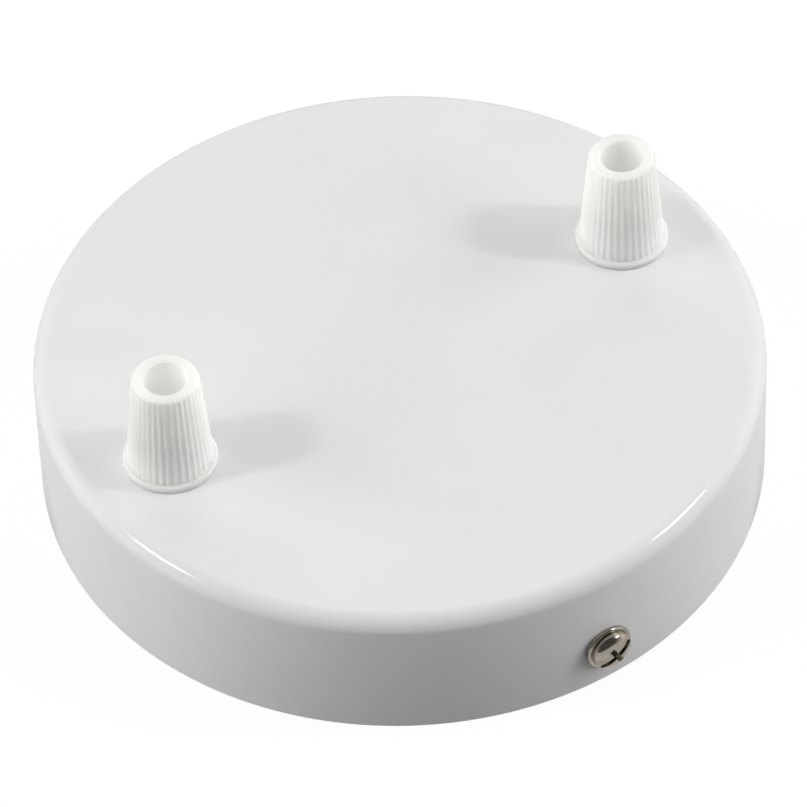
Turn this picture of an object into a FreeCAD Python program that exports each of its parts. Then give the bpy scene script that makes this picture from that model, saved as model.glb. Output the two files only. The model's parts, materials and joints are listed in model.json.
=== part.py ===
"""Electrical ceiling rose: a pressed steel cup with two cord grips, screwed to a ceiling bracket.

Millimetres. The origin is the centre of the cup's rim, which lies on the ceiling. +Z points from the
ceiling to the cord grips, the grips stand in line along X, and the two side screws lie along Y.
"""
import FreeCAD, Part
import math
import os

Vector = FreeCAD.Vector
AXIS_X = Vector(1, 0, 0)
AXIS_Y = Vector(0, 1, 0)
AXIS_Z = Vector(0, 0, 1)
CENTRE = Vector(0, 0, 0)

# Pressed steel cup
cup_diameter = 120.0
cup_height = 25.0
cup_sheet = 0.8
cup_inner_bend = 2.0

# Play between pieces
thread_clearance = 0.15
hole_clearance = 0.3
tube_clearance = 0.1
screw_seat_gap = 0.1

# Cord grips: cap and slotted stem
grip_edge_distance = 16.0
cord_bore = 7.0
stem_wall = 1.45
stem_tail = 3.0
finger_count = 4
finger_slot = 1.0
finger_length = 7.0
finger_tip_wall = 0.6
collet_gap = 0.25
cap_height = 19.0
cap_thread_depth = 7.5
cap_mouth_land = 6.0
cap_mouth_clearance = 0.2
cap_mouth_round = 0.5
cap_base_wall = 1.95
cap_lip_wall = 1.8
cap_lip_overhang = 0.05
cap_lip_height = 0.4
cap_lip_round = 0.3
cap_flange_step = 0.65
cap_flange_height = 1.3
cap_flange_round = 0.55
rib_count = 38
rib_depth = 0.3
rib_crown_share = 0.45
rib_root_share = 0.2

# Cord grips: nut and washer under the roof
grip_nut_wall = 1.9
grip_nut_height = 4.0
grip_washer_overhang = 1.5
grip_washer_thickness = 1.0
nut_chamfer_angle = 30.0

# Side screws and their washers
side_screw_diameter = 4.0
side_screw_length = 8.0
side_screw_height = 8.0
side_head_diameter = 7.1
side_head_height = 2.2
side_head_round = 1.7
side_recess_width = 1.0
side_recess_length = 4.4
side_recess_depth = 1.5
side_slot_depth = 1.0
side_slot_turn = 30.0
side_washer_diameter = 8.2
side_washer_thickness = 0.8

# Ceiling bracket
bracket_sheet = 1.5
bracket_lift = 0.4
bracket_inner_bend = 1.0
tab_width = 14.0
tab_wall_gap = 0.3
tab_margin = 5.5
tab_corner = 4.0
tab_shoulder_run = 4.0
tab_shoulder_step = 2.0
collar_height = 1.2
collar_wall = 0.9
ceiling_slot_spacing = 64.0
ceiling_slot_length = 24.0
ceiling_slot_width = 4.8

# Earth screw
earth_offset = 14.5
earth_screw_diameter = 4.0
earth_head_diameter = 7.0
earth_head_height = 2.2
earth_head_chamfer = 0.4
earth_slot_width = 1.0
earth_slot_depth = 1.1
earth_washer_diameter = 8.0
earth_washer_thickness = 0.8

# Terminal block
pole_names = ("live", "earth", "neutral")
pole_pitch = 10.0
pole_width = 8.0
pole_depth = 17.0
pole_height = 9.0
tube_diameter = 5.2
tube_length = 14.0
tube_base_wall = 1.9
wire_bore = 3.2
tower_diameter = 6.4
tower_height = 13.5
tower_spacing = 8.0
tower_wall = 0.95
boss_diameter = 5.6
web_height = 6.0
web_depth = 12.0
terminal_screw_diameter = 2.6
terminal_screw_reach = 0.9
terminal_head_diameter = 4.0
terminal_head_height = 1.9
terminal_head_chamfer = 0.3
terminal_head_lift = 2.2
terminal_slot_width = 0.7
terminal_slot_depth = 0.8
block_screw_diameter = 3.0
block_head_diameter = 5.4
block_head_height = 1.8
block_head_chamfer = 0.4
block_slot_width = 0.8
block_slot_depth = 0.8

# Shared working values
screw_tip_chamfer = 0.4
screw_tip_lift = 0.2
cut_past = 1.0
edge_match = 1e-4

# Places worked out from the sizes
cup_radius = cup_diameter / 2
cup_inside = cup_radius - cup_sheet
roof_under = cup_height - cup_sheet
grip_reach = cup_radius - grip_edge_distance
grip_places = {"left": -grip_reach, "right": grip_reach}
side_turns = {"front": 0.0, "rear": 180.0}
bore_radius = cord_bore / 2
stem_radius = bore_radius + stem_wall
thread_radius = stem_radius + thread_clearance
mouth_radius = bore_radius + cap_mouth_clearance
cap_base_radius = thread_radius + cap_base_wall
cap_top_radius = mouth_radius + cap_lip_wall
side_hole_radius = side_screw_diameter / 2 + hole_clearance
side_seat = cup_radius + screw_seat_gap
bracket_inside = bracket_lift + bracket_sheet
bracket_width = tab_width + 2 * tab_shoulder_step
tab_face = math.sqrt(cup_inside**2 - (tab_width / 2) ** 2) - tab_wall_gap
tab_top = side_screw_height + tab_margin
tube_axis_height = bracket_inside + tube_base_wall + tube_diameter / 2 + tube_clearance
pole_places = [(i - (len(pole_names) - 1) / 2) * pole_pitch for i in range(len(pole_names))]
boss_places = [x + pole_pitch / 2 for x in pole_places[:-1]]
tower_places = (-tower_spacing / 2, tower_spacing / 2)


def cylinder(radius, height, base=0.0):
    return Part.makeCylinder(radius, height, Vector(0, 0, base))


def ring(outer, inner, height, base=0.0):
    hole = cylinder(inner, height + 2 * cut_past, base - cut_past)
    return cylinder(outer, height, base).cut(hole)


def block(size_x, size_y, size_z, base=0.0):
    """A box centred on the Z axis."""
    return Part.makeBox(size_x, size_y, size_z, Vector(-size_x / 2, -size_y / 2, base))


def turned(profile):
    """A solid of revolution about Z from (radius, height) corners."""
    corners = [Vector(r, 0, z) for r, z in profile]
    face = Part.Face(Part.makePolygon(corners + corners[:1]))
    return face.revolve(CENTRE, AXIS_Z, 360)


def placed(shape, x=0.0, y=0.0, z=0.0):
    moved = shape.copy()
    moved.translate(Vector(x, y, z))
    return moved


def turned_by(shape, axis, angle):
    moved = shape.copy()
    moved.rotate(CENTRE, axis, angle)
    return moved


def circles(shape, radius, height):
    """The circular edges with one radius at one height."""
    found = []
    for edge in shape.Edges:
        if not isinstance(edge.Curve, Part.Circle):
            continue
        if abs(edge.Curve.Radius - radius) < edge_match and abs(edge.Curve.Center.z - height) < edge_match:
            found.append(edge)
    return found


def rounded_disc(radius, height, rounding, base=0.0):
    """A cylinder whose upper edge is rounded."""
    disc = cylinder(radius, height, base)
    return disc.makeFillet(rounding, circles(disc, radius, base + height))


def straight_edges(shape, direction, chosen):
    """The straight edges along one direction whose middle point is chosen."""
    found = []
    for edge in shape.Edges:
        if not isinstance(edge.Curve, Part.Line):
            continue
        along = abs(edge.tangentAt(edge.FirstParameter).dot(direction))
        if along > 1 - edge_match and chosen(edge.CenterOfMass):
            found.append(edge)
    return found


def canopy_cup():
    """The drawn sheet cup, with a hole for each cord grip and each side screw."""
    outer = rounded_disc(cup_radius, cup_height, cup_inner_bend + cup_sheet)
    inner = rounded_disc(cup_inside, roof_under, cup_inner_bend)
    cup = outer.cut(inner)
    grip_hole = cylinder(stem_radius + hole_clearance, cup_sheet + 2 * cut_past, roof_under - cut_past)
    for x in grip_places.values():
        cup = cup.cut(placed(grip_hole, x=x))
    across = cup_diameter + 2 * cut_past
    side_start = Vector(0, -across / 2, side_screw_height)
    return cup.cut(Part.makeCylinder(side_hole_radius, across, side_start, AXIS_Y))


def cap_taper_height(radius):
    """The height inside the cap at which the taper has one radius."""
    taper_length = cap_height - cap_mouth_land - cap_thread_depth
    return cap_thread_depth + taper_length * (thread_radius - radius) / (thread_radius - mouth_radius)


def cap_outer_radius(height):
    """The radius over the ribs, from the flange up to the lip."""
    rise = (height - cap_flange_height) / (cap_height - cap_flange_height)
    return cap_base_radius + (cap_top_radius - cap_base_radius) * rise


def rib_outline(crown_radius, height):
    """A closed outline of flat-topped ribs around the Z axis."""
    root_radius = crown_radius * (1 - rib_depth / cap_base_radius)
    pitch = 2 * math.pi / rib_count
    corners = []
    for i in range(rib_count):
        crown = (crown_radius, rib_crown_share, i)
        root = (root_radius, rib_root_share, i + 0.5)
        for radius, share, middle in (crown, root):
            for side in (-0.5, 0.5):
                angle = pitch * (middle + side * share)
                corners.append(Vector(radius * math.cos(angle), radius * math.sin(angle), height))
    return corners


def ribbed_cone(bottom, top):
    """A ribbed frustum between two heights, made of flat faces."""
    lower = rib_outline(cap_outer_radius(bottom), bottom)
    upper = rib_outline(cap_outer_radius(top), top)
    faces = [Part.Face(Part.makePolygon(ends + ends[:1])) for ends in (lower, upper)]
    for i in range(len(lower)):
        j = (i + 1) % len(lower)
        faces.append(Part.Face(Part.makePolygon([lower[i], lower[j], upper[j], upper[i], lower[i]])))
    return Part.makeSolid(Part.makeShell(faces))


def cord_grip_cap():
    """The ribbed conical cap, standing on z = 0."""
    lip_base = cap_height - cap_lip_height
    flange = rounded_disc(cap_base_radius + cap_flange_step, cap_flange_height, cap_flange_round)
    lip_radius = cap_outer_radius(lip_base) + cap_lip_overhang
    lip = Part.makeCone(lip_radius, cap_top_radius, cap_lip_height, Vector(0, 0, lip_base))
    lip = lip.makeFillet(cap_lip_round, circles(lip, cap_top_radius, cap_height))
    ribs = ribbed_cone(cap_flange_height / 2, lip_base + cap_lip_overhang)
    cap = flange.fuse([ribs, lip])
    inside = turned([
        (0, -cut_past),
        (thread_radius, -cut_past),
        (thread_radius, cap_thread_depth),
        (mouth_radius, cap_height - cap_mouth_land),
        (mouth_radius, cap_height + cut_past),
        (0, cap_height + cut_past),
    ])
    cap = cap.cut(inside).removeSplitter()
    return cap.makeFillet(cap_mouth_round, circles(cap, mouth_radius, cap_height))


def cord_grip_stem():
    """The threaded stem with its collet fingers; z = 0 is the top of the cup's roof."""
    bottom = -(cup_sheet + grip_washer_thickness + grip_nut_height + stem_tail)
    taper_start = cap_taper_height(stem_radius + collet_gap)
    tip_radius = bore_radius + finger_tip_wall
    tip = cap_taper_height(tip_radius + collet_gap)
    stem = turned([
        (bore_radius, bottom),
        (stem_radius - screw_tip_chamfer, bottom),
        (stem_radius, bottom + screw_tip_chamfer),
        (stem_radius, taper_start),
        (tip_radius, tip),
        (bore_radius, tip),
    ])
    slot = Part.makeBox(
        stem_radius + cut_past,
        finger_slot,
        finger_length + cut_past,
        Vector(0, -finger_slot / 2, tip - finger_length),
    )
    for i in range(finger_count):
        stem = stem.cut(turned_by(slot, AXIS_Z, (i + 0.5) * 360 / finger_count))
    return stem


def cord_grip_nut():
    """The chamfered hexagon nut, standing on z = 0."""
    flat_radius = thread_radius + grip_nut_wall
    corner_radius = flat_radius / math.cos(math.pi / 6)
    chamfer = (corner_radius - flat_radius) * math.tan(math.radians(nut_chamfer_angle))
    corners = []
    for i in range(6):
        angle = i * math.pi / 3
        corners.append(Vector(corner_radius * math.cos(angle), corner_radius * math.sin(angle), 0))
    hexagon = Part.Face(Part.makePolygon(corners + corners[:1])).extrude(AXIS_Z * grip_nut_height)
    barrel = turned([
        (0, 0),
        (flat_radius, 0),
        (corner_radius, chamfer),
        (corner_radius, grip_nut_height - chamfer),
        (flat_radius, grip_nut_height),
        (0, grip_nut_height),
    ])
    return hexagon.common(barrel).cut(cylinder(thread_radius, grip_nut_height + 2 * cut_past, -cut_past))


def cord_grip_washer():
    """The flat washer between the nut and the roof, standing on z = 0."""
    outer = thread_radius + grip_nut_wall + grip_washer_overhang
    return ring(outer, thread_radius, grip_washer_thickness)


def shank(diameter, length):
    """A screw's plain shank, hanging down from z = 0."""
    radius = diameter / 2
    return turned([
        (0, 0),
        (radius, 0),
        (radius, screw_tip_chamfer - length),
        (radius - screw_tip_chamfer, -length),
        (0, -length),
    ])


def cheese_head(diameter, height, chamfer):
    """A cylindrical screw head with a chamfered top, standing on z = 0."""
    radius = diameter / 2
    return turned([(0, 0), (radius, 0), (radius, height - chamfer), (radius - chamfer, height), (0, height)])


def cheese_screw(diameter, length, head_diameter, head_height, head_chamfer, slot_width, slot_depth):
    """A slotted cheese-head screw that points down, with its head seated on z = 0."""
    head = cheese_head(head_diameter, head_height, head_chamfer)
    head = slotted(head, head_diameter, slot_width, slot_depth, head_height)
    return head.fuse(shank(diameter, length)).removeSplitter()


def slotted(shape, diameter, width, depth, top):
    """The shape with a slot across its whole head."""
    return shape.cut(block(diameter + 2 * cut_past, width, depth + cut_past, top - depth))


def side_screw():
    """The pan-head screw with a cross recess and a slot, seated on z = 0."""
    head = rounded_disc(side_head_diameter / 2, side_head_height, side_head_round)
    arm_base = side_head_height - side_recess_depth
    arm = block(side_recess_length, side_recess_width, side_recess_depth + cut_past, arm_base)
    head = head.cut(arm.fuse(turned_by(arm, AXIS_Z, 90)))
    head = slotted(head, side_head_diameter, side_recess_width, side_slot_depth, side_head_height)
    body = head.fuse(shank(side_screw_diameter, side_screw_length)).removeSplitter()
    return turned_by(body, AXIS_Z, side_slot_turn)


def side_washer():
    """The flat washer under a side screw's head, standing on z = 0."""
    return ring(side_washer_diameter / 2, side_hole_radius, side_washer_thickness)


def on_side(shape, seat, turn):
    """A piece built along +Z, set on the cup's wall and pointing outwards."""
    outwards = placed(turned_by(shape, AXIS_X, 90), y=-seat, z=side_screw_height)
    return turned_by(outwards, AXIS_Z, turn)


def collar(screw_diameter):
    """A drawn collar round a tapped hole, and the hole's cutter, both standing on the sheet at z = 0."""
    hole = screw_diameter / 2 + thread_clearance
    body = cylinder(hole + collar_wall, collar_height)
    cutter = cylinder(hole, bracket_sheet + collar_height + 2 * cut_past, -bracket_sheet - cut_past)
    return body, cutter


def folded_strip():
    """The bracket's strip with its two ends folded up."""
    outer = Part.makeBox(
        bracket_width,
        2 * tab_face,
        tab_top - bracket_lift,
        Vector(-bracket_width / 2, -tab_face, bracket_lift),
    )
    hollow_half = tab_face - bracket_sheet
    inner = Part.makeBox(
        bracket_width + 2 * cut_past,
        2 * hollow_half,
        tab_top - bracket_inside + cut_past,
        Vector(-bracket_width / 2 - cut_past, -hollow_half, bracket_inside),
    )
    strip = outer.cut(inner)
    strip = strip.makeFillet(
        bracket_inner_bend,
        straight_edges(
            strip,
            AXIS_X,
            lambda p: abs(p.z - bracket_inside) < edge_match and abs(abs(p.y) - hollow_half) < edge_match,
        ),
    )
    return strip.makeFillet(
        bracket_inner_bend + bracket_sheet,
        straight_edges(
            strip,
            AXIS_X,
            lambda p: abs(p.z - bracket_lift) < edge_match and abs(abs(p.y) - tab_face) < edge_match,
        ),
    )


def mounting_bracket():
    """The folded strip with narrowed tabs, ceiling slots and tapped holes."""
    strip = folded_strip()
    half_tab = tab_width / 2
    slope_end = tab_face - bracket_sheet - bracket_inner_bend
    past = 1 + cut_past / tab_shoulder_step
    notch_outline = (
        (half_tab, tab_face + cut_past),
        (half_tab, slope_end),
        (half_tab + past * tab_shoulder_step, slope_end - past * tab_shoulder_run),
        (half_tab + past * tab_shoulder_step, tab_face + cut_past),
    )
    for mirror_x in (1, -1):
        for mirror_y in (1, -1):
            corners = [Vector(mirror_x * x, mirror_y * y, 0) for x, y in notch_outline]
            notch = Part.Face(Part.makePolygon(corners + corners[:1]))
            strip = strip.cut(notch.extrude(AXIS_Z * (tab_top + cut_past)))
    strip = strip.makeFillet(
        tab_corner,
        straight_edges(strip, AXIS_Y, lambda p: abs(p.z - tab_top) < edge_match),
    )
    body, cutter = collar(side_screw_diameter)
    for turn in side_turns.values():
        inwards = placed(turned_by(body, AXIS_X, -90), y=bracket_sheet - tab_face, z=side_screw_height)
        hole = placed(turned_by(cutter, AXIS_X, -90), y=bracket_sheet - tab_face, z=side_screw_height)
        strip = strip.fuse(turned_by(inwards, AXIS_Z, turn)).cut(turned_by(hole, AXIS_Z, turn))
    body, cutter = collar(earth_screw_diameter)
    strip = strip.fuse(placed(body, y=-earth_offset, z=bracket_inside))
    strip = strip.cut(placed(cutter, y=-earth_offset, z=bracket_inside))
    cut_base = bracket_lift - cut_past
    cut_height = bracket_sheet + 2 * cut_past
    fixing = cylinder(block_screw_diameter / 2 + thread_clearance, cut_height, cut_base)
    for x in boss_places:
        strip = strip.cut(placed(fixing, x=x))
    slot_run = ceiling_slot_length - ceiling_slot_width
    slot_end = cylinder(ceiling_slot_width / 2, cut_height, cut_base)
    for y in (-ceiling_slot_spacing / 2, ceiling_slot_spacing / 2):
        strip = strip.cut(placed(block(ceiling_slot_width, slot_run, cut_height, cut_base), y=y))
        strip = strip.cut(placed(slot_end, y=y - slot_run / 2))
        strip = strip.cut(placed(slot_end, y=y + slot_run / 2))
    return strip.removeSplitter()


def earth_screw():
    """The slotted earth screw in the bracket's collar."""
    seat = bracket_inside + collar_height + earth_washer_thickness
    length = seat - bracket_lift - screw_tip_lift
    body = cheese_screw(
        earth_screw_diameter,
        length,
        earth_head_diameter,
        earth_head_height,
        earth_head_chamfer,
        earth_slot_width,
        earth_slot_depth,
    )
    return placed(body, y=-earth_offset, z=seat)


def earth_clamp_washer():
    hole = earth_screw_diameter / 2 + hole_clearance
    washer = ring(earth_washer_diameter / 2, hole, earth_washer_thickness)
    return placed(washer, y=-earth_offset, z=bracket_inside + collar_height)


def terminal_block_housing():
    """The moulded strip of insulated barrels, each with two screw towers, joined by fixing bosses."""
    barrel_radius = pole_width / 2
    barrel_axis = bracket_inside + pole_height - barrel_radius
    towers_top = bracket_inside + tower_height
    foot = block(pole_width, pole_depth, pole_height - barrel_radius, bracket_inside)
    tower = cylinder(tower_diameter / 2, towers_top - barrel_axis, barrel_axis)
    web = block(pole_pitch - pole_width + barrel_radius, web_depth, web_height, bracket_inside)
    boss = cylinder(boss_diameter / 2, pole_height, bracket_inside)
    pieces = []
    for x in pole_places:
        barrel_start = Vector(x, -pole_depth / 2, barrel_axis)
        pieces.append(placed(foot, x=x))
        pieces.append(Part.makeCylinder(barrel_radius, pole_depth, barrel_start, AXIS_Y))
        pieces += [placed(tower, x=x, y=y) for y in tower_places]
    for x in boss_places:
        pieces += [placed(web, x=x), placed(boss, x=x)]
    housing = pieces[0].fuse(pieces[1:])
    along = pole_depth + 2 * cut_past
    cavity_radius = tube_diameter / 2 + tube_clearance
    well_depth = towers_top - tube_axis_height
    well = cylinder(tower_diameter / 2 - tower_wall, well_depth + cut_past, tube_axis_height)
    for x in pole_places:
        cavity_start = Vector(x, -along / 2, tube_axis_height)
        housing = housing.cut(Part.makeCylinder(cavity_radius, along, cavity_start, AXIS_Y))
        for y in tower_places:
            housing = housing.cut(placed(well, x=x, y=y))
    fixing_radius = block_screw_diameter / 2 + hole_clearance
    fixing = cylinder(fixing_radius, pole_height + 2 * cut_past, bracket_inside - cut_past)
    for x in boss_places:
        housing = housing.cut(placed(fixing, x=x))
    return housing.removeSplitter()


def terminal_tube(x):
    """A brass tube with a wire bore along Y and a tapped hole under each tower."""
    start = Vector(x, -tube_length / 2, tube_axis_height)
    tube = Part.makeCylinder(tube_diameter / 2, tube_length, start, AXIS_Y)
    past_start = Vector(x, -tube_length / 2 - cut_past, tube_axis_height)
    tube = tube.cut(Part.makeCylinder(wire_bore / 2, tube_length + 2 * cut_past, past_start, AXIS_Y))
    tapped_radius = terminal_screw_diameter / 2 + thread_clearance
    tapped = cylinder(tapped_radius, tube_diameter / 2 + cut_past, tube_axis_height)
    for y in tower_places:
        tube = tube.cut(placed(tapped, x=x, y=y))
    return tube


def terminal_screws():
    """The clamp screws in the towers, run in until they reach into the wire bores."""
    seat = tube_axis_height + tube_diameter / 2 + terminal_head_lift
    length = seat - (tube_axis_height + wire_bore / 2 - terminal_screw_reach)
    one = cheese_screw(
        terminal_screw_diameter,
        length,
        terminal_head_diameter,
        terminal_head_height,
        terminal_head_chamfer,
        terminal_slot_width,
        terminal_slot_depth,
    )
    return Part.makeCompound([placed(one, x=x, y=y, z=seat) for x in pole_places for y in tower_places])


def block_fixing_screws():
    """The two screws that hold the terminal block to the bracket."""
    seat = bracket_inside + pole_height
    length = seat - bracket_lift - screw_tip_lift
    one = cheese_screw(
        block_screw_diameter,
        length,
        block_head_diameter,
        block_head_height,
        block_head_chamfer,
        block_slot_width,
        block_slot_depth,
    )
    return Part.makeCompound([placed(one, x=x, z=seat) for x in boss_places])


def all_parts():
    parts = {
        "canopy_cup": canopy_cup(),
        "mounting_bracket": mounting_bracket(),
        "earth_screw": earth_screw(),
        "earth_clamp_washer": earth_clamp_washer(),
        "terminal_block_housing": terminal_block_housing(),
        "terminal_screws": terminal_screws(),
        "block_fixing_screws": block_fixing_screws(),
    }
    for name, x in zip(pole_names, pole_places):
        parts["terminal_tube_" + name] = terminal_tube(x)
    washer_base = roof_under - grip_washer_thickness
    for side, x in grip_places.items():
        parts["cord_grip_cap_" + side] = placed(cord_grip_cap(), x=x, z=cup_height)
        parts["cord_grip_stem_" + side] = placed(cord_grip_stem(), x=x, z=cup_height)
        parts["cord_grip_nut_" + side] = placed(cord_grip_nut(), x=x, z=washer_base - grip_nut_height)
        parts["cord_grip_washer_" + side] = placed(cord_grip_washer(), x=x, z=washer_base)
    for side, turn in side_turns.items():
        parts["side_washer_" + side] = on_side(side_washer(), side_seat, turn)
        parts["side_screw_" + side] = on_side(side_screw(), side_seat + side_washer_thickness, turn)
    return parts


os.makedirs("parts", exist_ok=True)
for node, shape in all_parts().items():
    shape.exportStep("parts/" + node + ".step")
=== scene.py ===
"""Electrical ceiling rose: a gloss white steel cup with two ribbed cord grips, resting on its rim.

Metres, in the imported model's frame. The rim lies on z = 0, the cord grips stand in line along X, and the
side screws lie along Y with the front one at -Y.
"""
import bmesh
import bpy
import json
import math
from mathutils import Matrix, Vector


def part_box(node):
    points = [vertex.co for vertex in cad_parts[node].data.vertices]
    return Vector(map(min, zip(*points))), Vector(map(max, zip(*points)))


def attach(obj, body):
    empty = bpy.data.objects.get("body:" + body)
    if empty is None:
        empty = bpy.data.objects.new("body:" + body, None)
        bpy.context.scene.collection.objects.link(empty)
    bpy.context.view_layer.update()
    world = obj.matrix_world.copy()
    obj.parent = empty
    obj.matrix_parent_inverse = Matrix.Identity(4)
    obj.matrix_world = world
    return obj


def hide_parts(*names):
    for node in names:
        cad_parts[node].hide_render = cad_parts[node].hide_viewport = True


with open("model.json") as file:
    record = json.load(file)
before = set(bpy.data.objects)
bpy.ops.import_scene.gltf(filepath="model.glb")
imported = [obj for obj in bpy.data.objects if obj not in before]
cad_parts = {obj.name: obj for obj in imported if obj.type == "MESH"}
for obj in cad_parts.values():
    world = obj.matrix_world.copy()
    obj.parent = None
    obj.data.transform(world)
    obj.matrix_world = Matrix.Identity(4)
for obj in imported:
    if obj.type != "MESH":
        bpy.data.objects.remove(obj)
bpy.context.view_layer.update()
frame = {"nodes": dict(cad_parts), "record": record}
mm = 0.001

# Camera, as fitted to the photograph
photo_pixels = 807
focal_pixels = 6791.7
sensor_width = 36.0
camera_azimuth = math.radians(-31.7)
camera_pitch = math.radians(47.06)
camera_roll = math.radians(2.02)
camera_distance = 1119 * mm
camera_target = Vector((0, 0, 12 * mm))
target_pixel = (401.25, 400.93)

# Finish of the cup, and the reach of its hole cutters in sheets
cup_bend = 2.8 * mm
cup_rim_round = 0.25 * mm
cup_segments = 360
hole_segments = 64
hole_reach = 4.0
grip_hole_clearance = 0.3 * mm
side_hole_clearance = 0.3 * mm

# Forms of the cord grip cap
rib_count = 38
rib_depth = 0.28 * mm
rib_segments = 12
groove_power = 0.8
cap_flange_step = 0.65 * mm
cap_flange_height = 1.3 * mm
cap_flange_round = 0.55 * mm
cap_foot_round = 0.2 * mm
cap_lip_round = 0.6 * mm
cap_lip_wall = 1.8 * mm
cap_mouth_clearance = 0.2 * mm
cap_mouth_land = 6.0 * mm
cap_mouth_round = 0.35 * mm
cap_thread_clearance = 0.15 * mm
cap_thread_depth = 7.5 * mm
rib_run_out = 0.25 * mm

# Forms of the stem
stem_pitch = 1.0 * mm
stem_thread_depth = 0.42 * mm
stem_end_chamfer = 0.4 * mm
finger_tip_wall = 0.6 * mm
finger_slot = 1.0 * mm
finger_length = 7.0 * mm
finger_slot_angles = (45, 135)
stem_segments = 72

# Forms of the side screws
screw_pitch = 0.7 * mm
screw_thread_depth = 0.32 * mm
screw_radius = 2.0 * mm
screw_tip_chamfer = 0.4 * mm
head_skirt = 0.5 * mm
head_under_round = 0.15 * mm
head_dome_power = 2.2
head_dome_steps = 14
recess_width = 1.0 * mm
recess_length = 4.4 * mm
recess_depth = 1.5 * mm
recess_taper = 0.72
slot_depth = 1.0 * mm
slot_turn = math.radians(30)
washer_round = 0.28 * mm
screw_segments = 96

# Threads: rows of points in a pitch, and how steeply a flank falls
rows_per_pitch = 8
flank_slope = 1.15

# Rounding of plain moulded, cut and folded edges
sheet_edge = 0.2 * mm
moulded_edge = 0.3 * mm
turned_edge = 0.12 * mm
edge_segments = 2
edge_profile = 0.5
smooth_angle = math.radians(38)
flat_angle = math.radians(0.5)

# How far a cutter stands past what it cuts, and what counts as the same place
overlap = 1.0 * mm
same_radius = 1e-3 * mm
same_point = 1e-4 * mm
on_axis = 1e-6 * mm

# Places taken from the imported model
body_of = {node: body for body, nodes in frame["record"]["behaviour"]["bodies"].items() for node in nodes}
slot_of = {part["node"]: part["material_slot"] for part in frame["record"]["subparts"]}
grip_sides = ("left", "right")
screw_turns = {"front": 0.0, "rear": math.pi}


def low(node):
    return Vector(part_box(node)[0])


def high(node):
    return Vector(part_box(node)[1])


def middle(node):
    return (low(node) + high(node)) / 2


def half_width(node):
    return (high(node).x - low(node).x) / 2


cup_radius = high("canopy_cup").x
cup_height = high("canopy_cup").z
roof_under = high("cord_grip_washer_left").z
cup_sheet = cup_height - roof_under
stem_radius = half_width("cord_grip_stem_left")
side_screw_height = middle("side_screw_front").z
head_seat = -low("side_washer_front").y


def arc(radius, height, size, start, end, steps=6):
    """Profile points on a circle round (radius, height), from one angle to another in degrees."""
    points = []
    for i in range(steps + 1):
        angle = math.radians(start + (end - start) * i / steps)
        points.append((radius + size * math.cos(angle), height + size * math.sin(angle)))
    return points


def turned(name, profile, segments, closed=False, ripple=None):
    """A mesh turned about Z from (radius, height) points.

    ripple(angle, radius, height) gives the depth to take off the radius there.
    """
    vertices = []
    rings = []
    for radius, height in profile:
        if radius < on_axis:
            rings.append([len(vertices)] * segments)
            vertices.append((0, 0, height))
            continue
        rings.append(list(range(len(vertices), len(vertices) + segments)))
        for i in range(segments):
            angle = 2 * math.pi * i / segments
            depth = ripple(angle, radius, height) if ripple else 0
            vertices.append(((radius - depth) * math.cos(angle), (radius - depth) * math.sin(angle), height))
    faces = []
    pairs = list(zip(rings, rings[1:]))
    if closed:
        pairs.append((rings[-1], rings[0]))
    for ring, following in pairs:
        for i in range(segments):
            j = (i + 1) % segments
            corners = (ring[i], ring[j], following[j], following[i])
            faces.append(list(dict.fromkeys(corners)))
    mesh = bpy.data.meshes.new(name)
    mesh.from_pydata(vertices, [], faces)
    return linked(name, mesh)


def linked(name, mesh):
    piece = bpy.data.objects.new(name, mesh)
    bpy.context.scene.collection.objects.link(piece)
    return piece


def face_outwards(piece):
    body = bmesh.new()
    body.from_mesh(piece.data)
    bmesh.ops.recalc_face_normals(body, faces=body.faces)
    body.to_mesh(piece.data)
    body.free()


def bar(size_x, size_y, low_z, high_z, taper=1.0):
    """A cutting bar centred on Z, narrowed towards its lower end."""
    cutter = bmesh.new()
    for z, share in ((low_z, taper), (high_z, 1.0)):
        for x, y in ((-1, -1), (1, -1), (1, 1), (-1, 1)):
            cutter.verts.new((x * size_x * share / 2, y * size_y * share / 2, z))
    cutter.verts.ensure_lookup_table()
    corners = cutter.verts
    for loop in ((3, 2, 1, 0), (4, 5, 6, 7), (0, 1, 5, 4), (1, 2, 6, 5), (2, 3, 7, 6), (3, 0, 4, 7)):
        cutter.faces.new([corners[i] for i in loop])
    mesh = bpy.data.meshes.new("cutter")
    cutter.to_mesh(mesh)
    cutter.free()
    return linked("cutter", mesh)


def rod(radius, length, place, axis):
    """A round cutter through a place, along an axis."""
    profile = [(0, -length / 2), (radius, -length / 2), (radius, length / 2), (0, length / 2)]
    cutter = turned("cutter", profile, hole_segments)
    turn = Vector((0, 0, 1)).rotation_difference(Vector(axis)).to_matrix().to_4x4()
    cutter.data.transform(Matrix.Translation(place) @ turn)
    return cutter


def cut(piece, cutters):
    """Takes the cutters out of the piece for good."""
    face_outwards(piece)
    for cutter in cutters:
        face_outwards(cutter)
        step = piece.modifiers.new("cut", "BOOLEAN")
        step.operation = "DIFFERENCE"
        step.solver = "EXACT"
        step.object = cutter
    seen = piece.evaluated_get(bpy.context.evaluated_depsgraph_get())
    result = bpy.data.meshes.new_from_object(seen)
    piece.modifiers.clear()
    piece.data = result
    for cutter in cutters:
        bpy.data.objects.remove(cutter)
    return piece


def dress(piece, node, finish=None):
    """Puts a finished piece in a node's place, on its body and in its slot's material or another finish."""
    face_outwards(piece)
    piece.data.shade_smooth()
    piece.data.set_sharp_from_angle(angle=smooth_angle)
    piece.data.materials.clear()
    piece.data.materials.append(materials[finish or slot_of[node]])
    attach(piece, body_of[node])
    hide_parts(node)
    return piece


def moved(piece, matrix):
    piece.data.transform(matrix)
    return piece


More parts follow.
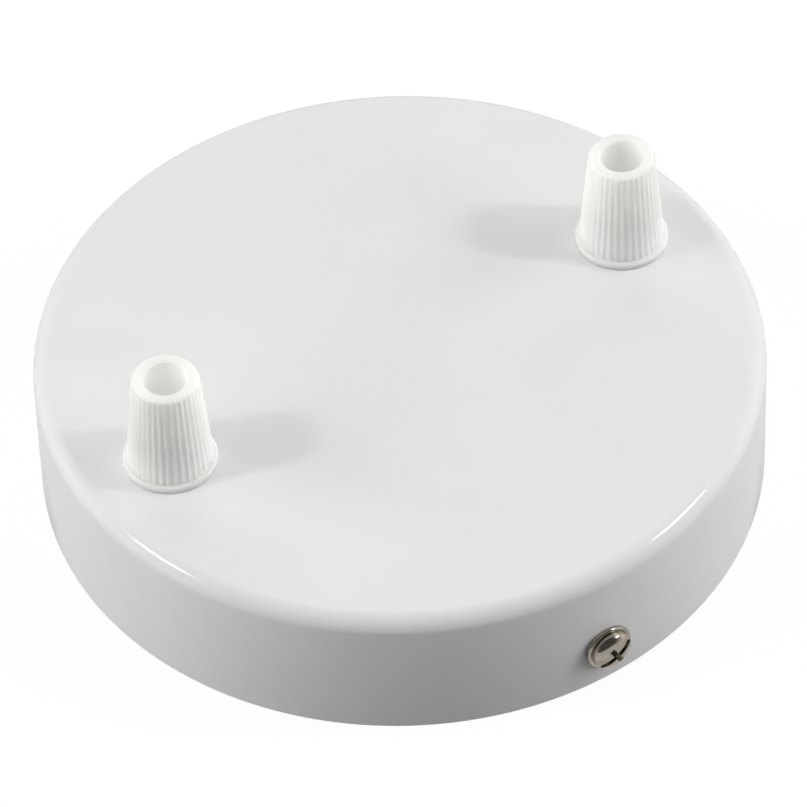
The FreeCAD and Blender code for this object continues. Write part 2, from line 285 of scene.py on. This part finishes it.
# Noise that drives the tone and the gloss: where they change over in it, and its detail
tone_stops = (0.35, 0.65)
tone_detail = 4
gloss_stops = (0.3, 0.7)
grain_detail = 3


def noise(tree, place, size, detail):
    """A noise texture whose features have a real size."""
    texture = tree.nodes.new("ShaderNodeTexNoise")
    texture.inputs["Scale"].default_value = 1 / size
    texture.inputs["Detail"].default_value = detail
    tree.links.new(place, texture.inputs["Vector"])
    return texture.outputs["Fac"]


def surface(name, tones, tone_size, roughness, grain_size, grain_depth, stretch=(1, 1, 1), **sockets):
    """A material with its tone, gloss and fine relief varied at real sizes."""
    material = bpy.data.materials.new(name)
    material.use_nodes = True
    tree = material.node_tree
    shader = tree.nodes["Principled BSDF"]
    for socket, value in sockets.items():
        shader.inputs[socket.replace("_", " ")].default_value = value
    origin = tree.nodes.new("ShaderNodeTexCoord")
    mapping = tree.nodes.new("ShaderNodeMapping")
    mapping.inputs["Scale"].default_value = stretch
    tree.links.new(origin.outputs["Object"], mapping.inputs["Vector"])
    place = mapping.outputs["Vector"]
    patches = noise(tree, place, tone_size, tone_detail)
    ramp = tree.nodes.new("ShaderNodeValToRGB")
    for stop, position, tone in zip(ramp.color_ramp.elements, tone_stops, tones):
        stop.position = position
        stop.color = (*tone, 1)
    tree.links.new(patches, ramp.inputs["Fac"])
    tree.links.new(ramp.outputs["Color"], shader.inputs["Base Color"])
    grain = noise(tree, place, grain_size, grain_detail)
    gloss = tree.nodes.new("ShaderNodeMapRange")
    gloss.inputs["From Min"].default_value = gloss_stops[0]
    gloss.inputs["From Max"].default_value = gloss_stops[1]
    gloss.inputs["To Min"].default_value = roughness[0]
    gloss.inputs["To Max"].default_value = roughness[1]
    tree.links.new(grain, gloss.inputs["Value"])
    tree.links.new(gloss.outputs["Result"], shader.inputs["Roughness"])
    relief = tree.nodes.new("ShaderNodeBump")
    relief.inputs["Strength"].default_value = 1.0
    relief.inputs["Distance"].default_value = grain_depth
    tree.links.new(grain, relief.inputs["Height"])
    tree.links.new(relief.outputs["Normal"], shader.inputs["Normal"])
    return material


# Materials: one for each slot of the record, and a thin nylon for the stems, painted paler as a glow
# standing in for light through their thin walls
materials = {
    "white_powder_coat": surface(
        "gloss white powder coat",
        tones=((0.765, 0.765, 0.765), (0.785, 0.785, 0.783)),
        tone_size=18 * mm,
        roughness=(0.10, 0.16),
        grain_size=1.6 * mm,
        grain_depth=0.0012 * mm,
        IOR=1.5,
    ),
    "white_nylon": surface(
        "white nylon",
        tones=((0.905, 0.905, 0.85), (0.92, 0.92, 0.87)),
        tone_size=4 * mm,
        roughness=(0.38, 0.48),
        grain_size=0.5 * mm,
        grain_depth=0.004 * mm,
        Subsurface_Weight=0.75,
        Subsurface_Radius=(1.0, 1.0, 0.95),
        Subsurface_Scale=4.5 * mm,
    ),
    # Painted glow: the stems' nylon is paler than the caps', standing in for light through the thin walls
    # and the bore
    "thin_nylon_painted_pale": surface(
        "thin white nylon painted pale",
        tones=((0.98, 0.98, 0.85), (0.99, 0.99, 0.86)),
        tone_size=4 * mm,
        roughness=(0.38, 0.48),
        grain_size=0.5 * mm,
        grain_depth=0.004 * mm,
        Subsurface_Weight=1.0,
        Subsurface_Radius=(1.0, 1.0, 0.95),
        Subsurface_Scale=25 * mm,
    ),
    "nickel_plate": surface(
        "nickel plate",
        tones=((0.37, 0.33, 0.28), (0.48, 0.44, 0.385)),
        tone_size=1.5 * mm,
        roughness=(0.12, 0.22),
        grain_size=0.25 * mm,
        grain_depth=0.002 * mm,
        Metallic=1.0,
    ),
    "zinc_plate": surface(
        "zinc plate",
        tones=((0.56, 0.58, 0.61), (0.68, 0.70, 0.72)),
        tone_size=3.5 * mm,
        roughness=(0.26, 0.40),
        grain_size=0.35 * mm,
        grain_depth=0.004 * mm,
        stretch=(1, 0.12, 1),
        Metallic=1.0,
    ),
    "brass": surface(
        "turned brass",
        tones=((0.68, 0.47, 0.17), (0.80, 0.61, 0.29)),
        tone_size=2.5 * mm,
        roughness=(0.22, 0.36),
        grain_size=0.3 * mm,
        grain_depth=0.003 * mm,
        Metallic=1.0,
    ),
    "block_plastic": surface(
        "moulded block plastic",
        tones=((0.82, 0.81, 0.75), (0.87, 0.86, 0.81)),
        tone_size=5 * mm,
        roughness=(0.36, 0.46),
        grain_size=0.4 * mm,
        grain_depth=0.004 * mm,
        Subsurface_Weight=0.5,
        Subsurface_Radius=(1.0, 0.95, 0.8),
        Subsurface_Scale=1.5 * mm,
    ),
}


def within(tree, socket, limit):
    """One where a value is under a limit, and zero elsewhere."""
    test = tree.nodes.new("ShaderNodeMath")
    test.operation = "LESS_THAN"
    test.inputs[1].default_value = limit
    tree.links.new(socket, test.inputs[0])
    return test.outputs["Value"]


def paint_bore_glow(material, radius_share, height_share, tone, depth):
    """Paints a turned piece's bore paler and yellower, a painted glow standing in for light through the thin
    wall, and lets light travel a depth through the wall there in its subsurface.

    The bore lies within a share of the piece's radius and below a share of its height.
    """
    tree = material.node_tree
    shader = tree.nodes["Principled BSDF"]
    outside = shader.inputs["Base Color"].links[0].from_socket
    origin = tree.nodes.new("ShaderNodeTexCoord")
    place = tree.nodes.new("ShaderNodeSeparateXYZ")
    tree.links.new(origin.outputs["Generated"], place.inputs["Vector"])
    # The piece's box runs from 0 to 1, and here from -1 to 1 round its axis
    across = tree.nodes.new("ShaderNodeMapping")
    across.inputs["Location"].default_value = (-1, -1, 0)
    across.inputs["Scale"].default_value = (2, 2, 0)
    tree.links.new(origin.outputs["Generated"], across.inputs["Vector"])
    radius = tree.nodes.new("ShaderNodeVectorMath")
    radius.operation = "LENGTH"
    tree.links.new(across.outputs["Vector"], radius.inputs[0])
    bore = tree.nodes.new("ShaderNodeMath")
    bore.operation = "MULTIPLY"
    tree.links.new(within(tree, radius.outputs["Value"], radius_share), bore.inputs[0])
    tree.links.new(within(tree, place.outputs["Z"], height_share), bore.inputs[1])
    # Painted glow: within the bore the colour switches to the paler, yellower tone, standing in for light
    # through the thin wall
    mix = tree.nodes.new("ShaderNodeMix")
    mix.data_type = "RGBA"
    tree.links.new(bore.outputs["Value"], mix.inputs["Factor"])
    tree.links.new(outside, mix.inputs["A"])
    mix.inputs["B"].default_value = (*tone, 1)
    tree.links.new(mix.outputs["Result"], shader.inputs["Base Color"])
    for socket, inside in (("Subsurface Weight", 1.0), ("Subsurface Scale", depth)):
        choice = tree.nodes.new("ShaderNodeMapRange")
        choice.inputs["To Min"].default_value = shader.inputs[socket].default_value
        choice.inputs["To Max"].default_value = inside
        tree.links.new(bore.outputs["Value"], choice.inputs["Value"])
        tree.links.new(choice.outputs["Result"], shader.inputs[socket])


# The caps' bores get a painted glow: a paler, yellower colour standing in for light through the thin wall
paint_bore_glow(
    materials["white_nylon"],
    radius_share=0.64,
    height_share=0.98,
    tone=(0.995, 0.995, 0.84),
    depth=40 * mm,
)


def canopy_cup():
    """The drawn cup, one sheet from the rim up the wall and over the roof."""
    inside = cup_radius - cup_sheet
    inner_bend = cup_bend - cup_sheet
    profile = [(0, cup_height)]
    profile += arc(cup_radius - cup_bend, cup_height - cup_bend, cup_bend, 90, 0, steps=14)
    profile += arc(cup_radius - cup_rim_round, cup_rim_round, cup_rim_round, 0, -90, steps=4)
    profile += arc(inside + cup_rim_round, cup_rim_round, cup_rim_round, -90, -180, steps=4)
    profile += arc(inside - inner_bend, roof_under - inner_bend, inner_bend, 0, 90, steps=10)
    profile += [(0, roof_under)]
    cup = turned("cup_shell", profile, cup_segments)
    across = 2 * cup_radius + overlap
    holes = [rod(screw_radius + side_hole_clearance, across, (0, 0, side_screw_height), (0, 1, 0))]
    for side in grip_sides:
        place = middle("cord_grip_stem_" + side)
        place.z = roof_under
        holes.append(rod(stem_radius + grip_hole_clearance, hole_reach * cup_sheet, place, (0, 0, 1)))
    dress(cut(cup, holes), "canopy_cup")


def cord_grip_cap(node, stem):
    """The ribbed conical cap, with a rounded lip at its mouth and a flange at its foot."""
    bottom = low(node).z
    height = high(node).z - bottom
    flange = half_width(node)
    mouth_edge = stem_bore(stem)
    mouth = mouth_edge + cap_mouth_clearance
    top = mouth + cap_lip_wall
    base = flange - cap_flange_step
    thread_bore = stem_radius + cap_thread_clearance
    lip_base = height - cap_lip_round

    def crown(z):
        return base + (top - base) * (z - cap_flange_height) / (height - cap_flange_height)

    def grooves(angle, radius, z):
        """Rounded grooves between the ribs, running out at the flange and over the lip."""
        from_foot = (z - cap_flange_height) / rib_run_out
        from_lip = (height - z) / cap_lip_round
        reach = max(0.0, min(1.0, from_foot, from_lip))
        if radius <= thread_bore:
            return 0.0
        wave = 0.5 - 0.5 * math.cos(rib_count * angle)
        return rib_depth * crown(z) / base * reach * wave**groove_power

    profile = [(thread_bore, 0), (thread_bore, cap_thread_depth), (mouth, height - cap_mouth_land)]
    profile += arc(mouth_edge + cap_mouth_round, height - cap_mouth_round, cap_mouth_round, 180, 90)
    profile += arc(crown(lip_base) - cap_lip_round, lip_base, cap_lip_round, 90, 0, steps=8)
    rib_low = cap_flange_height + rib_run_out
    profile += [(crown(z), z) for z in ((rib_low + lip_base) / 2, rib_low, cap_flange_height)]
    shoulder = cap_flange_height - cap_flange_round
    profile += arc(flange - cap_flange_round, shoulder, cap_flange_round, 90, 0, steps=5)
    profile += arc(flange - cap_foot_round, cap_foot_round, cap_foot_round, 0, -90, steps=3)
    cap = turned("cap_" + node.rsplit("_", 1)[1], profile, rib_count * rib_segments, True, grooves)
    place = middle(node)
    place.z = bottom
    dress(moved(cap, Matrix.Translation(place)), node)


def stem_bore(node):
    """The bore's radius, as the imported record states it."""
    side = node.rsplit("_", 1)[1]
    mounts = {mount["name"]: mount for mount in frame["record"]["mounts"]}
    return mounts["cord_bore_" + side]["dims"]["r_mm"] * mm


def thread(pitch, depth, outside, start, end):
    """A ripple that cuts a screw thread between two heights of a cylinder."""

    def ripple(angle, radius, height):
        if radius < outside - same_radius or not start <= height <= end:
            return 0.0
        turn = (height / pitch - angle / (2 * math.pi)) % 1.0
        fade = min(1.0, (height - start) / pitch, (end - height) / pitch)
        return depth * fade * min(1.0, flank_slope * abs(2 * turn - 1))

    return ripple


def threaded_rows(radius, start, end, pitch):
    """Profile points close enough together to carry a thread."""
    rows = math.ceil((end - start) / pitch * rows_per_pitch)
    return [(radius, start + (end - start) * i / rows) for i in range(rows + 1)]


def collet_slope(cap, stem):
    """Height over width of the cone inside the cap, which the collet fingers follow."""
    cone_height = high(cap).z - low(cap).z - cap_mouth_land - cap_thread_depth
    cone_width = stem_radius + cap_thread_clearance - stem_bore(stem) - cap_mouth_clearance
    return cone_height / cone_width


def cord_grip_stem(node, cap):
    """The threaded stem, slotted at its tip into collet fingers."""
    bottom = low(node).z
    tip = high(node).z
    bore = stem_bore(node)
    start = bottom + stem_end_chamfer
    taper = tip - (stem_radius - bore - finger_tip_wall) * collet_slope(cap, node)
    profile = [(bore, tip), (bore, bottom), (stem_radius - stem_end_chamfer, bottom)]
    profile += threaded_rows(stem_radius, start, taper, stem_pitch)
    profile += [(bore + finger_tip_wall, tip)]
    ripple = thread(stem_pitch, stem_thread_depth, stem_radius, start, taper)
    stem = turned("stem_" + node.rsplit("_", 1)[1], profile, stem_segments, True, ripple)
    slots = []
    for turn in finger_slot_angles:
        slot = bar(2 * stem_radius + overlap, finger_slot, tip - finger_length, tip + overlap)
        slots.append(moved(slot, Matrix.Rotation(math.radians(turn), 4, "Z")))
    place = middle(node)
    place.z = 0
    # The stem takes the paler nylon, whose tone is a painted glow
    dress(moved(cut(stem, slots), Matrix.Translation(place)), node, "thin_nylon_painted_pale")


def on_side(turn):
    """Where a piece that is built along +Z sits on the cup's wall, pointing outwards."""
    lean = Matrix.Rotation(math.pi / 2, 4, "X")
    seat = Matrix.Translation((0, -head_seat, side_screw_height))
    return Matrix.Rotation(turn, 4, "Z") @ seat @ lean


def side_screw(node, turn):
    """The pan-head screw, with a cross recess and a slot across its domed head."""
    head_radius = half_width(node)
    head_height = -low("side_screw_front").y - head_seat
    length = head_seat + high("side_screw_front").y
    profile = [(0, head_height)]
    dome = head_height - head_skirt
    for i in range(1, head_dome_steps + 1):
        share = math.sin(i / head_dome_steps * math.pi / 2)
        rise = (1 - share**head_dome_power) ** (1 / head_dome_power)
        profile.append((head_radius * share, head_skirt + dome * rise))
    profile += arc(head_radius - head_under_round, head_under_round, head_under_round, 0, -90, steps=3)
    thread_top = -screw_pitch / 4
    thread_end = screw_tip_chamfer - length
    profile += threaded_rows(screw_radius, thread_top, thread_end, screw_pitch)
    profile += [(screw_radius - screw_tip_chamfer, -length), (0, -length)]
    ripple = thread(screw_pitch, screw_thread_depth, screw_radius, thread_end, thread_top)
    screw = turned("screw_" + node.rsplit("_", 1)[1], profile, screw_segments, False, ripple)
    top = head_height + overlap
    cutters = [bar(2 * head_radius + overlap, recess_width, head_height - slot_depth, top)]
    for quarter in (0, 90):
        arm = bar(recess_length, recess_width, head_height - recess_depth, top, recess_taper)
        cutters.append(moved(arm, Matrix.Rotation(math.radians(quarter), 4, "Z")))
    screw = moved(cut(screw, cutters), Matrix.Rotation(slot_turn, 4, "Z"))
    dress(moved(screw, on_side(turn)), node)


def side_washer(node, turn):
    """The washer under a side screw's head, rounded by tumbling."""
    radius = half_width(node)
    thickness = high(node).y - low(node).y
    hole = screw_radius + side_hole_clearance
    profile = arc(radius - washer_round, -washer_round, washer_round, 90, 0)
    profile += arc(radius - washer_round, washer_round - thickness, washer_round, 0, -90)
    profile += arc(hole + turned_edge, turned_edge - thickness, turned_edge, -90, -180, steps=2)
    profile += arc(hole + turned_edge, -turned_edge, turned_edge, 180, 90, steps=2)
    washer = turned("washer_" + node.rsplit("_", 1)[1], profile, screw_segments, True)
    dress(moved(washer, on_side(turn)), node)


def rounded_solid(node, rounding):
    """A node's own solid with its sharp edges rounded."""
    body = bmesh.new()
    body.from_mesh(frame["nodes"][node].data)
    bmesh.ops.remove_doubles(body, verts=body.verts, dist=same_point)
    bmesh.ops.dissolve_limit(body, angle_limit=flat_angle, verts=body.verts, edges=body.edges)
    sharp = [e for e in body.edges if len(e.link_faces) == 2 and e.calc_face_angle() > smooth_angle]
    bmesh.ops.bevel(
        body,
        geom=sharp,
        offset=rounding,
        segments=edge_segments,
        profile=edge_profile,
        affect="EDGES",
        clamp_overlap=True,
    )
    mesh = bpy.data.meshes.new(node)
    body.to_mesh(mesh)
    body.free()
    dress(linked("rounded_" + node, mesh), node)


# Pieces of the rose
canopy_cup()
for side in grip_sides:
    cord_grip_cap("cord_grip_cap_" + side, "cord_grip_stem_" + side)
    cord_grip_stem("cord_grip_stem_" + side, "cord_grip_cap_" + side)
    rounded_solid("cord_grip_nut_" + side, moulded_edge)
    rounded_solid("cord_grip_washer_" + side, sheet_edge)
for side, turn in screw_turns.items():
    side_screw("side_screw_" + side, turn)
    side_washer("side_washer_" + side, turn)
rounded_solid("mounting_bracket", sheet_edge)
rounded_solid("terminal_block_housing", moulded_edge)
for node in ("terminal_tube_live", "terminal_tube_earth", "terminal_tube_neutral"):
    rounded_solid(node, turned_edge)
for node in ("earth_screw", "earth_clamp_washer", "terminal_screws", "block_fixing_screws"):
    rounded_solid(node, turned_edge)


def backdrop(tree, lit, seen, gloss_share):
    """Mixes what lights the object with what the camera sees, and reflections by a share of it."""
    path = tree.nodes.new("ShaderNodeLightPath")
    glossy = tree.nodes.new("ShaderNodeMath")
    glossy.name = "gloss share"
    glossy.operation = "MULTIPLY"
    glossy.inputs[1].default_value = gloss_share
    tree.links.new(path.outputs["Is Glossy Ray"], glossy.inputs[0])
    total = path.outputs["Is Camera Ray"]
    for output in (glossy.outputs["Value"], path.outputs["Is Transmission Ray"]):
        joined = tree.nodes.new("ShaderNodeMath")
        joined.operation = "MAXIMUM"
        tree.links.new(total, joined.inputs[0])
        tree.links.new(output, joined.inputs[1])
        total = joined.outputs["Value"]
    mix = tree.nodes.new("ShaderNodeMixShader")
    tree.links.new(total, mix.inputs["Fac"])
    tree.links.new(lit, mix.inputs[1])
    tree.links.new(seen, mix.inputs[2])
    return mix.outputs["Shader"]


# Floor, clear from below and open under the cup, so that the inside can be looked at
floor_radius = 4.0
floor_opening = cup_radius - cup_rim_round
floor_bounce = 0.1
floor_glow = 0.90
floor_shadow = 0.11
floor_gloss_share = 0.7
floor = turned("floor", [(floor_radius, 0), (floor_opening, 0)], cup_segments)
floor_paint = bpy.data.materials.new("pale floor")
floor_paint.use_nodes = True
tree = floor_paint.node_tree
tree.nodes.remove(tree.nodes["Principled BSDF"])
lit = tree.nodes.new("ShaderNodeBsdfDiffuse")
lit.inputs["Color"].default_value = (floor_bounce, floor_bounce, floor_bounce, 1)
glow = tree.nodes.new("ShaderNodeEmission")
glow.inputs["Strength"].default_value = floor_glow
shadowed = tree.nodes.new("ShaderNodeBsdfDiffuse")
shadowed.inputs["Color"].default_value = (floor_shadow, floor_shadow, floor_shadow, 1)
seen = tree.nodes.new("ShaderNodeAddShader")
tree.links.new(glow.outputs["Emission"], seen.inputs[0])
tree.links.new(shadowed.outputs["BSDF"], seen.inputs[1])
result = backdrop(tree, lit.outputs["BSDF"], seen.outputs["Shader"], floor_gloss_share)
floor_side = tree.nodes.new("ShaderNodeNewGeometry")
clear = tree.nodes.new("ShaderNodeBsdfTransparent")
one_sided = tree.nodes.new("ShaderNodeMixShader")
tree.links.new(floor_side.outputs["Backfacing"], one_sided.inputs["Fac"])
tree.links.new(result, one_sided.inputs[1])
tree.links.new(clear.outputs["BSDF"], one_sided.inputs[2])
tree.links.new(one_sided.outputs["Shader"], tree.nodes["Material Output"].inputs["Surface"])
floor.data.materials.append(floor_paint)

# World: a soft room, white where the camera sees it, and dim in gloss above the camera's own side
sky_light = 0.04
sky_gloss_share = 1.0
sky_gloss_dim = 0.05
sky_gloss_turn = (-0.6, -0.1)
sky_bright_elevation = math.radians(-40)
world = bpy.data.worlds.new("soft room")
bpy.context.scene.world = world
world.use_nodes = True
tree = world.node_tree
room = tree.nodes["Background"]
room.inputs["Color"].default_value = (1, 1, 1, 1)
room.inputs["Strength"].default_value = sky_light
white = tree.nodes.new("ShaderNodeBackground")
white.inputs["Color"].default_value = (1, 1, 1, 1)
white.inputs["Strength"].default_value = 1.0
result = backdrop(tree, room.outputs["Background"], white.outputs["Background"], sky_gloss_share)
tree.links.new(result, tree.nodes["World Output"].inputs["Surface"])


def direction(azimuth, elevation):
    """From the object towards a place, with the azimuth counted from the camera's side."""
    turn = camera_azimuth + azimuth
    flat = math.cos(elevation)
    return Vector((math.sin(turn) * flat, -math.cos(turn) * flat, math.sin(elevation)))


outlook = tree.nodes.new("ShaderNodeTexCoord")
facing = tree.nodes.new("ShaderNodeVectorMath")
facing.operation = "DOT_PRODUCT"
facing.inputs[1].default_value = direction(math.pi, sky_bright_elevation)
tree.links.new(outlook.outputs["Generated"], facing.inputs[0])
dimmed = tree.nodes.new("ShaderNodeMapRange")
dimmed.inputs["From Min"].default_value = sky_gloss_turn[0]
dimmed.inputs["From Max"].default_value = sky_gloss_turn[1]
dimmed.inputs["To Min"].default_value = sky_gloss_dim
dimmed.inputs["To Max"].default_value = sky_gloss_share
tree.links.new(facing.outputs["Value"], dimmed.inputs["Value"])
tree.links.new(dimmed.outputs["Result"], tree.nodes["gloss share"].inputs[1])


def panel(name, azimuth, elevation, distance, size, power, mirrored=False):
    """A rectangular lamp that faces the object, and either lights it or is only mirrored in its gloss."""
    lamp = bpy.data.lights.new(name, "AREA")
    lamp.shape = "RECTANGLE"
    lamp.size, lamp.size_y = size
    lamp.energy = power
    holder = bpy.data.objects.new(name, lamp)
    bpy.context.scene.collection.objects.link(holder)
    towards = direction(math.radians(azimuth), math.radians(elevation))
    holder.location = camera_target + distance * towards
    holder.rotation_euler = towards.to_track_quat("Z", "Y").to_euler()
    holder.visible_glossy = mirrored
    holder.visible_diffuse = not mirrored


# Lamps: a small one, a mirrored strip and a low panel on each side, and panels all round
panel("left lamp", azimuth=-76, elevation=44, distance=0.7, size=(0.055, 0.08), power=0.64)
panel("right lamp", azimuth=85, elevation=42, distance=0.7, size=(0.055, 0.08), power=0.76)
panel("left strip", azimuth=-79, elevation=43, distance=0.7, size=(0.17, 0.09), power=1.0, mirrored=True)
panel("right strip", azimuth=90, elevation=42, distance=0.7, size=(0.16, 0.09), power=0.95, mirrored=True)
panel("left panel", azimuth=-82, elevation=12, distance=1.5, size=(1.6, 1.4), power=26.2)
panel("right panel", azimuth=93, elevation=12, distance=1.5, size=(1.6, 1.4), power=25.8)
panel("front panel", azimuth=0, elevation=50, distance=1.5, size=(2.0, 1.0), power=2.4)
panel("high panel", azimuth=0, elevation=75, distance=1.2, size=(1.6, 1.2), power=3.6)
panel("back panel", azimuth=180, elevation=22, distance=1.5, size=(2.2, 1.2), power=10)
panel("under panel", azimuth=0, elevation=-65, distance=1.0, size=(1.2, 1.2), power=10)

# Camera
camera = bpy.data.cameras.new("camera")
camera.sensor_width = sensor_width
camera.lens = sensor_width * focal_pixels / photo_pixels
camera.shift_x = (photo_pixels / 2 - target_pixel[0]) / photo_pixels
camera.shift_y = (target_pixel[1] - photo_pixels / 2) / photo_pixels
viewer = bpy.data.objects.new("camera", camera)
bpy.context.scene.collection.objects.link(viewer)
backwards = direction(0, camera_pitch)
viewer.location = camera_target + camera_distance * backwards
upright = backwards.to_track_quat("Z", "Y").to_matrix().to_4x4()
viewer.matrix_world = Matrix.Translation(viewer.location) @ upright @ Matrix.Rotation(-camera_roll, 4, "Z")
bpy.context.scene.camera = viewer
bpy.context.scene.view_settings.view_transform = "Standard"
